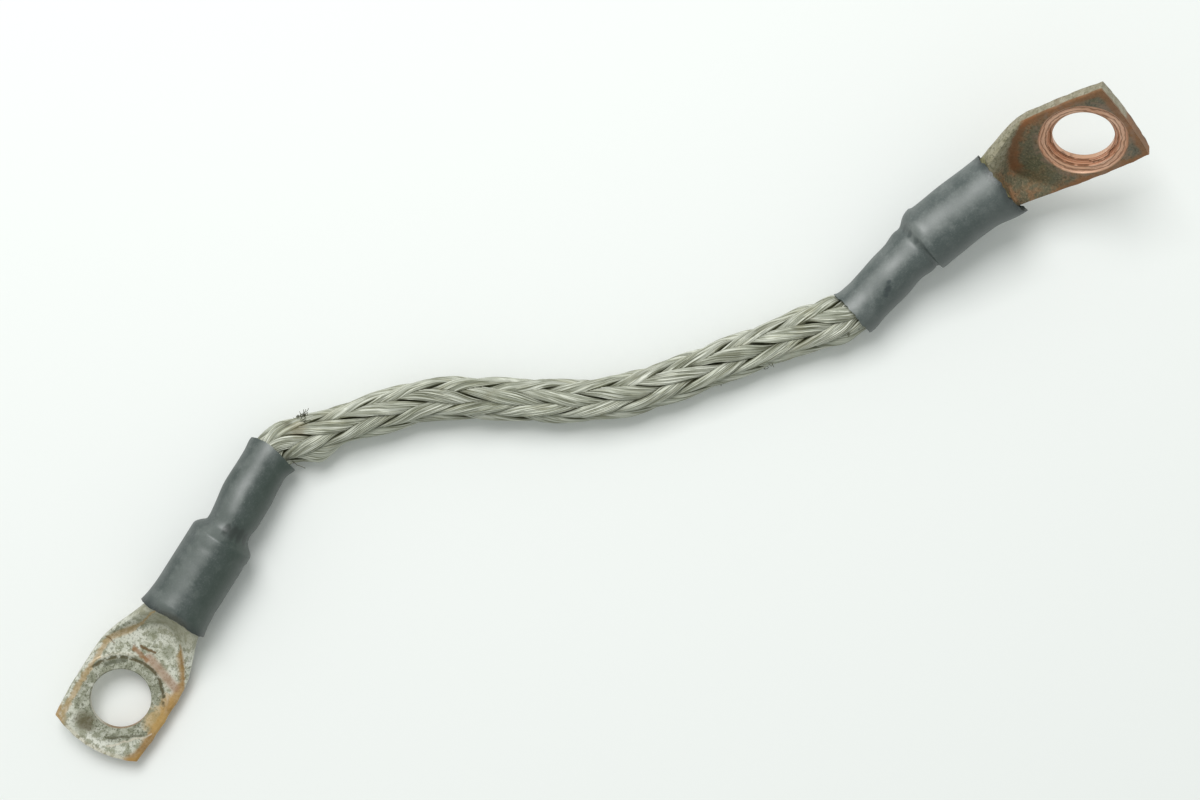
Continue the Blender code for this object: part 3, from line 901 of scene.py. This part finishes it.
# Marks: place in mm, radius, strength, and tone in 0 to 255 display values
WIRE_STAINS = (
    ((-44.6, 16.4, 7.2), 2.0, 0.4, (134, 120, 84)),
    ((-45.6, 18.4, 7.0), 1.3, 0.6, (84, 80, 54)),
    ((42.0, -10.9, 8.2), 0.8, 0.75, (206, 164, 146)),
)
# Painted shade: the crescent in the pinch where the first sleeve steps down onto the plait.
STEP_SHADE = (22, 34, 28)
SLEEVE_A_PAINTED_SHADE = (
    ((-2.5, -0.6, 5.5), 1.2, 0.8, STEP_SHADE),
    ((-2.5, 1.2, 5.3), 1.3, 0.85, STEP_SHADE),
    ((-2.5, 3.0, 4.6), 1.3, 0.85, STEP_SHADE),
    ((-2.5, 4.5, 3.2), 1.2, 0.8, STEP_SHADE),
    # painted shade in a crease by the collar
    ((0.9, 4.6, 3.0), 0.6, 0.7, (34, 46, 42)),
)
SMUDGE = (38, 50, 52)
# Painted shade along the groove at the second sleeve's step.
GROOVE_SHADE = (42, 54, 54)
# Marks on the second sleeve: dark smudges, and painted shade in the groove at its step.
SLEEVE_B_SMUDGES_AND_SHADE = (
    ((-12.0, 1.6, 5.2), 1.0, 0.8, (32, 44, 46)),
    ((-11.0, 2.4, 4.9), 0.6, 0.75, SMUDGE),
    ((-13.0, 0.9, 5.4), 0.8, 0.7, SMUDGE),
    ((-2.7, 5.2, -1.8), 0.7, 0.6, GROOVE_SHADE),
    ((-2.7, 5.5, 0.2), 0.7, 0.65, GROOVE_SHADE),
    ((-2.7, 4.9, 2.4), 0.8, 0.65, GROOVE_SHADE),
    ((-2.6, 3.6, 4.1), 0.8, 0.5, (46, 58, 58)),
)
TIN_STAINS = (
    ((39.4, -3.1), 2.4, 0.8, (92, 84, 56)),
    ((21.6, 2.6), 1.5, 0.6, (112, 116, 88)),
    ((20.4, -1.2), 1.3, 0.5, (116, 120, 92)),
)
COPPER_PATCHES = (
    ((33.0, 7.3), 3.0, 0.6, (196, 160, 96)),
    ((29.4, 7.2), 2.0, 0.6, (190, 152, 92)),
)

# Scratches on the first palm: start, end, half width, strength and tone
SCRATCHES = (
    ((23.3, -1.9), (22.8, 0.7), 0.42, 0.9, (104, 78, 38)),
    ((24.1, -2.8), (24.8, 0.2), 0.6, 0.75, (144, 98, 50)),
    ((29.0, -5.6), (26.6, -3.0), 0.6, 0.7, (78, 80, 60)),
    ((40.0, 1.6), (36.6, 6.4), 0.38, 0.7, (86, 84, 62)),
    ((41.2, 2.4), (35.6, 7.8), 0.26, 0.6, (214, 204, 186)),
    ((24.6, -7.9), (25.0, -6.2), 0.2, 0.7, (110, 84, 50)),
)

# Tones of a sleeve: dark, light, pale for rubbing, grain and a painted sheen, and painted shade for its
# shaded side
SLEEVE_A_TONES = ((50, 62, 58), (72, 80, 78), (118, 124, 120), (30, 50, 38))
SLEEVE_B_TONES = ((66, 76, 74), (92, 99, 97), (132, 137, 134), (56, 66, 63))


def wire_material():
    """Dull tinned wire: fine lines and painted highlight streaks along the strands, painted shade in the
    cracks between them, and a few stains.
    """
    graph = Graph("tinned_wire")
    paint, rise, fall = graph.paint, graph.rise, graph.fall
    lay = graph.attribute("lay", "Vector")
    deep = graph.attribute("deep")
    place = graph.stretch(graph.node("NewGeometry", {}), (1.0 / MM, 1.0 / MM, 1.0 / MM))
    spread = graph.noise(graph.stretch(lay, (0.06, 0.08, 0.3)))
    cloud = graph.noise(place, 0.16, 3.0, 0.6)
    wires = graph.noise(graph.stretch(lay, (2.5, 0.12, 1.0)), 1.0, 2.0, 0.6)
    fine = graph.noise(graph.stretch(lay, (6.0, 0.13, 1.0)), 1.0, 1.0, 0.5)
    graph.colour = graph.mix(rise(spread, 0.35, 0.65), (194, 196, 184), (174, 177, 162))
    # Painted highlight: pale streaks along the wires, where light catches them.
    paint(rise(fine + (wires - 0.5) * 0.6, 0.56, 0.66) * 0.55, (218, 219, 208))
    paint(fall(wires, 0.36, 0.47) * 0.45, (124, 124, 98))
    paint(fall(fine, 0.41, 0.48) * 0.7, (104, 105, 80))
    paint(rise(cloud, 0.55, 0.72) * 0.3, (146, 142, 112))
    # Painted shade: darker where the surface lies deep in the plait, in the cracks between strands.
    crack_shade = rise(deep + (fine - 0.5) * 0.4 + (cloud - 0.5) * 0.3, 0.55, 0.88)
    paint(crack_shade * 0.9, (74, 75, 46))
    for centre, radius, strength, tone in WIRE_STAINS:
        stain = graph.blot(graph.away(place, centre), radius, (wires - 0.5) * 1.5, 0.3)
        paint(stain * strength, tone)
    return graph.finish(Roughness=rise(fine, 0.2, 0.8) * 0.2 + 0.44, Metallic=0.4,
                        Normal=graph.bump(wires * 0.5 + fine * 0.5, 0.00012, 0.7))


def hair_material():
    graph = Graph("loose_wire")
    graph.set(Base_Color=shade(98, 98, 80), Roughness=0.45, Metallic=0.5)
    return graph.material


class PalmGraph(Graph):
    """A lug's material, with the places on its palm in millimetres."""

    def __init__(self, name):
        super().__init__(name)
        self.lay = self.attribute("lay", "Vector")
        self.edge = self.attribute("edge")
        self.face = self.attribute("face")
        self.deep = self.attribute("deep")
        self.x = self.part(self.lay, "X")
        self.y = self.part(self.lay, "Y")
        self.from_hole = self.away(self.lay, (HOLE_FROM_MOUTH / MM, 0.0))
        self.cloud = self.noise(self.lay, 0.22, 3.0, 0.6)
        self.patch = self.noise(self.vector_math("ADD", self.lay, (31.0, 7.0, 3.0)), 0.75, 4.0, 0.65)
        speck = self.noise(self.vector_math("ADD", self.lay, (5.0, 47.0, 9.0)), 2.6, 3.0, 0.6)
        self.noises = (self.cloud, self.patch, speck, self.noise(self.lay, 9.0, 2.0, 0.6))

    def spot(self, centre, radius):
        """A soft round patch whose border is broken up."""
        return self.blot(self.away(self.lay, centre), radius, (self.patch - 0.5) * 1.4)

    def paint_spots(self, spots):
        for centre, radius, strength, tone in spots:
            self.paint(self.spot(centre, radius) * strength, tone)

    def ring(self, radius, half_width):
        """A line round the hole that wanders in and out."""
        return self.band(self.from_hole + (self.cloud - 0.5) * 0.7, radius, half_width)

    def frayed(self, field, by):
        """A distance field made uneven by the patches."""
        return field + (self.patch - 0.5) * by


def tinned_lug_material():
    """Dull tin with green-grey stains, copper shown at the edges, and a washer's print."""
    palm = PalmGraph("worn_tin")
    cloud, patch, speck, grit = palm.noises
    paint, rise, fall = palm.paint, palm.rise, palm.fall
    left = fall(palm.y, -1.5, 1.5)
    right = 1.0 - left
    palm.colour = palm.mix(rise(cloud, 0.35, 0.65), (222, 222, 211), (202, 203, 188))
    paint(rise(patch, 0.48, 0.58) * 0.8, (140, 141, 116))
    ring_zone = fall(palm.from_hole, 7.3, 8.3)
    paint(ring_zone * (0.35 + rise(patch, 0.36, 0.58) * 0.5), (134, 136, 116))
    paint(rise(speck, 0.53, 0.62) * (0.5 + ring_zone * 0.3), (86, 88, 64))
    paint(rise(grit, 0.56, 0.68) * 0.5, (112, 112, 88))
    paint(fall(grit, 0.34, 0.42) * 0.5, (222, 222, 212))
    paint(fall(palm.x, 17.0, 20.5) * 0.7, (158, 156, 134))
    palm.paint_spots(TIN_STAINS)

    rim = palm.frayed(palm.edge, 1.5) + (cloud - 0.5) * 0.8
    across = palm.math("ABSOLUTE", palm.y)
    corners = rise(across, 5.4, 7.2)
    not_tip = 1.0 - rise(palm.x, 37.6, 39.2) * (1.0 - corners)
    not_top = rise(across + (cloud - 0.5) * 3.0, 2.2, 4.6)
    bound = palm.math("MINIMUM", rim, palm.face * 0.45 + 0.9 + (1.0 - not_top) * 3.0)
    worn = rise(cloud + speck * 0.3, 0.5, 0.8)
    copper = palm.mix(left * 0.6, palm.mix(worn, (190, 152, 94), (158, 118, 60)), (198, 172, 128))
    left_band = palm.band(bound, 1.15, 0.7) * left * not_tip
    off_neck = rise(palm.frayed(palm.face, 1.4), -0.8, 0.2)
    right_band = fall(bound, 1.0, 1.9) * right * off_neck * not_tip
    tip_band = fall(palm.frayed(palm.edge, 0.8), 0.35, 0.9) * rise(palm.x, 38.0, 40.0)
    paint(palm.math("MAXIMUM", left_band * 0.65, right_band * 0.85), copper)
    paint(tip_band * (0.15 + corners * 0.65), (176, 138, 80))
    palm.paint_spots(COPPER_PATCHES)
    side = rise(palm.deep, 0.25, 0.5)
    paint(side * left, (206, 203, 190))
    paint(side * right * fall(palm.x, 19.0, 23.0), (156, 155, 138))
    paint(side * right * rise(palm.x, 21.0, 25.0) * 0.6, (160, 116, 70))

    breaks = rise(patch + cloud * 0.5, 0.62, 0.82)
    near_sleeve = fall(palm.x, 29.8, 31.8)
    print_dark = palm.ring(7.45, 0.42) * near_sleeve * breaks * 0.9
    print_light = palm.ring(8.05, 0.34) * near_sleeve * (0.8 - breaks * 0.6)
    paint(palm.stroke(palm.lay, (24.2, 0.4), (26.4, 7.0), 1.25) * 0.7, (164, 130, 106))
    paint(print_light * 0.5, (198, 182, 158))
    paint(print_dark, (84, 76, 48))
    wobbled = palm.wobble(palm.lay)
    for start, end, half_width, strength, tone in SCRATCHES:
        paint(palm.stroke(wobbled, start, end, half_width) * strength, tone)
    height = patch * 0.5 + speck * 0.35 + grit * 0.15 - print_dark * 0.6 + print_light * 0.4
    bare = palm.math("MAXIMUM", left_band, right_band)
    return palm.finish(Roughness=0.56 - bare * 0.12 + speck * 0.1, Metallic=bare * 0.35 + 0.35,
                        Normal=palm.bump(height, 0.00022, 0.7))


def bare_lug_material():
    """Copper with the tin worn off, brown and olive, and bright where the bolt has ground it."""
    palm = PalmGraph("bare_copper")
    cloud, patch, speck, grit = palm.noises
    paint, rise, fall = palm.paint, palm.rise, palm.fall
    palm.colour = palm.mix(rise(cloud, 0.38, 0.62), (140, 104, 72), (112, 100, 76))
    paint(rise(patch + (cloud - 0.5) * 0.9, 0.44, 0.60) * 0.8, (98, 97, 76))
    grey = palm.math("MAXIMUM", palm.spot((39.0, 3.2), 5.0), palm.spot((39.5, -6.0), 2.6))
    paint(grey * 0.75, (104, 103, 90))
    paint(palm.spot((22.8, -2.0), 4.2) * 0.65, (92, 92, 64))
    paint(rise(speck, 0.53, 0.64) * 0.55, (66, 58, 42))
    paint(fall(speck, 0.36, 0.45) * 0.4, (156, 132, 104))
    ragged_face = palm.frayed(palm.face, 2.0)
    paint(palm.band(ragged_face, 1.1, 1.5) * rise(palm.y, -3.0, 1.0) * 0.7, (128, 84, 50))
    paint(fall(palm.frayed(palm.edge, 1.2), 0.7, 1.5) * 0.6, (146, 96, 58))
    tin = palm.mix(rise(patch, 0.38, 0.62) * 0.8, (166, 160, 138), (140, 134, 108))
    tin = palm.mix(rise(speck, 0.5, 0.62) * 0.7, tin, (96, 94, 72))
    paint(fall(ragged_face, -0.9, 0.5) * rise(palm.y, 0.0, 4.0), tin)
    paint(fall(palm.frayed(palm.x, 3.0), 15.2, 17.4) * 0.75, (146, 142, 98))
    wall = palm.mix(rise(patch, 0.4, 0.62) * 0.8, (172, 165, 145), (144, 137, 114))
    wall = palm.mix(rise(speck, 0.52, 0.62) * 0.6, wall, (104, 96, 74))
    paint(rise(palm.deep, 0.25, 0.55) * rise(palm.y, 0.0, 1.0), wall)

    worn = fall(palm.from_hole, 7.35, 7.75)
    dish = palm.mix(rise(cloud, 0.35, 0.65), (226, 186, 160), (208, 162, 132))
    lines = palm.math("SINE", (palm.from_hole + (cloud - 0.5) * 1.8) * 9.0)
    dish = palm.mix(rise(lines + patch * 0.6, 0.5, 1.2) * 0.7, dish, (118, 76, 50))
    paint(worn, dish)
    paint(palm.ring(8.1, 0.8) * rise(patch, 0.4, 0.6) * 0.5, (150, 122, 104))
    # Painted shade: darker towards the bottom of the palm's walls and of the hole.
    paint(rise(palm.deep, 1.9, 2.2) * 0.25, (110, 96, 74))
    height = (patch * 0.4 + speck * 0.4 + grit * 0.2) * (1.0 - worn) + worn * lines * 0.25
    return palm.finish(Roughness=0.55 - worn * 0.2 + grit * 0.08, Metallic=0.4 - worn * 0.15,
                        Normal=palm.bump(height, 0.0002, 0.7))


def rubber_material(name, tones, shade_side, sheen_side, frayed_shaded_end, marks_and_shade):
    """Matt rubber: its tones, a side in painted shade and a band of painted sheen, a frayed end with painted
    shade, and marks, some of them painted shade, in mm.
    """
    dark, light, pale, shaded = tones
    graph = Graph(name)
    paint, rise, fall = graph.paint, graph.rise, graph.fall
    lay = graph.attribute("lay", "Vector")
    dust = graph.noise(lay, 0.3, 4.0, 0.6)
    rub = graph.noise(graph.stretch(lay, (0.5, 0.4, 0.4)), 1.0, 4.0, 0.65)
    grain = graph.noise(lay, 3.2, 4.0, 0.7)
    graph.colour = graph.mix(rise(dust, 0.35, 0.7), dark, light)
    paint(rise(rub, 0.5, 0.74) * 0.3, pale)
    paint(rise(grain, 0.52, 0.68) * 0.3, pale)
    paint(fall(grain, 0.34, 0.48) * 0.3, (44, 52, 50))
    # Painted shade on the side of the sleeve that faces away from the lamp.
    paint(rise(graph.facing(lay, shade_side), 1.0, 5.2) * 0.75, shaded)
    # Painted sheen: a pale band along the side that faces the lamp, broken up by the rub noise.
    paint(rise(graph.facing(lay, sheen_side) + (rub - 0.5) * 0.9, 4.8, 5.5) * 0.45, pale)
    # A dark band at the sleeve's lug end: a frayed edge, with painted shade under its rim.
    station = graph.part(lay, "X") + (grain - 0.5) * 3.0
    paint(rise(station, frayed_shaded_end - 1.8, frayed_shaded_end + 0.3) * 0.85, (20, 30, 30))
    # Marks: real smudges, and painted shade in the sleeves' pinch, crease and groove.
    for centre, radius, strength, tone in marks_and_shade:
        paint(graph.blot(graph.away(lay, centre), radius, rub - 0.5) * strength, tone)
    return graph.finish(Roughness=rise(grain, 0.2, 0.8) * 0.12 + 0.37, Specular_IOR_Level=0.8,
                        Normal=graph.bump(grain * 0.5 + rub * 0.6, 0.00007, 0.5))


# Stage


def make_floor():
    graph = Graph("pale_table")
    graph.set(Base_Color=shade(238, 240, 238), Roughness=0.6)
    mesh = bpy.data.meshes.new("floor")
    corners = [(x * FLOOR_REACH, y * FLOOR_REACH, 0.0) for x, y in ((-1, -1), (1, -1), (1, 1), (-1, 1))]
    mesh.from_pydata(corners, [], [(0, 1, 2, 3)])
    mesh.materials.append(graph.material)
    floor = add_object("floor", mesh)


CAMERA_PLACE = Vector((-0.00328, -0.01739, 0.39976))
CAMERA_TARGET = Vector((0.0037, -0.0053, 0.0))
CAMERA_RIGHT = Vector((0.8660, -0.5, 0.0))
CAMERA_LENS = 67.5
FLOOR_REACH = 1.5
KEY_DISTANCE = 0.9
KEY_SIZE = 0.5
KEY_POWER = 5.5
ROOM_COLOUR = (0.95, 1.0, 0.97, 1.0)
ROOM_STRENGTH = 0.55


def make_camera():
    data = bpy.data.cameras.new("camera")
    data.lens = CAMERA_LENS
    camera = add_object("camera", data)
    back = (CAMERA_PLACE - CAMERA_TARGET).normalized()
    up = back.cross(CAMERA_RIGHT)
    turn = Matrix((CAMERA_RIGHT, up, back)).transposed()
    camera.matrix_world = Matrix.Translation(CAMERA_PLACE) @ turn.to_4x4()
    bpy.context.scene.camera = camera


def make_light():
    """One soft lamp above the far side of the object, and a pale room."""
    data = bpy.data.lights.new("key", "AREA")
    data.energy = KEY_POWER
    data.size = KEY_SIZE
    lamp = add_object("key", data)
    up_in_view = Vector((0.5, 0.8660, 0.0))
    away = (up_in_view * 0.55 - CAMERA_RIGHT * 0.2 + Vector((0.0, 0.0, 1.0))).normalized()
    lamp.location = CAMERA_TARGET + away * KEY_DISTANCE
    lamp.rotation_euler = away.to_track_quat("Z", "Y").to_euler()
    world = bpy.data.worlds.new("soft_room")
    world.use_nodes = True
    background = world.node_tree.nodes["Background"]
    background.inputs["Color"].default_value = ROOM_COLOUR
    background.inputs["Strength"].default_value = ROOM_STRENGTH
    bpy.context.scene.world = world
    bpy.context.scene.view_settings.view_transform = "Standard"


def main():
    route = plait_route()
    make_camera()
    make_light()
    make_floor()

    plait = make_plait(route, wire_material())
    strands = ["strand_%s_%d" % (side, number + 1) for side in ("right", "left")
               for number in range(STRANDS_EACH_WAY)]
    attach(plait, "root")
    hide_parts(*strands)
    path = route.frame(np.linspace(0.0, route.length, 150))[0].tolist()
    hairs = make_loose_wires(route, hair_material())
    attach(hairs, "root")

    rubber_a = rubber_material("slate_sleeve_a", SLEEVE_A_TONES, 15.0, 116.0, 15.9, SLEEVE_A_PAINTED_SHADE)
    rubber_b = rubber_material("slate_sleeve_b", SLEEVE_B_TONES, 140.0, 42.0, 14.7, SLEEVE_B_SMUDGES_AND_SHADE)
    for letter, lug, metal, details, rubber in (
            ("a", LUG_A, tinned_lug_material(), sleeve_a_details, rubber_a),
            ("b", LUG_B, bare_lug_material(), sleeve_b_details, rubber_b)):
        body = make_lug("lug_" + letter, lug, letter == "b", metal)
        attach(body, "root")
        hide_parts("cable_lug_" + letter)
        sleeve = make_sleeve("sleeve_" + letter, lug, route, letter == "b", details, rubber)
        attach(sleeve, "root")
        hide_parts("heat_shrink_" + letter)


main()
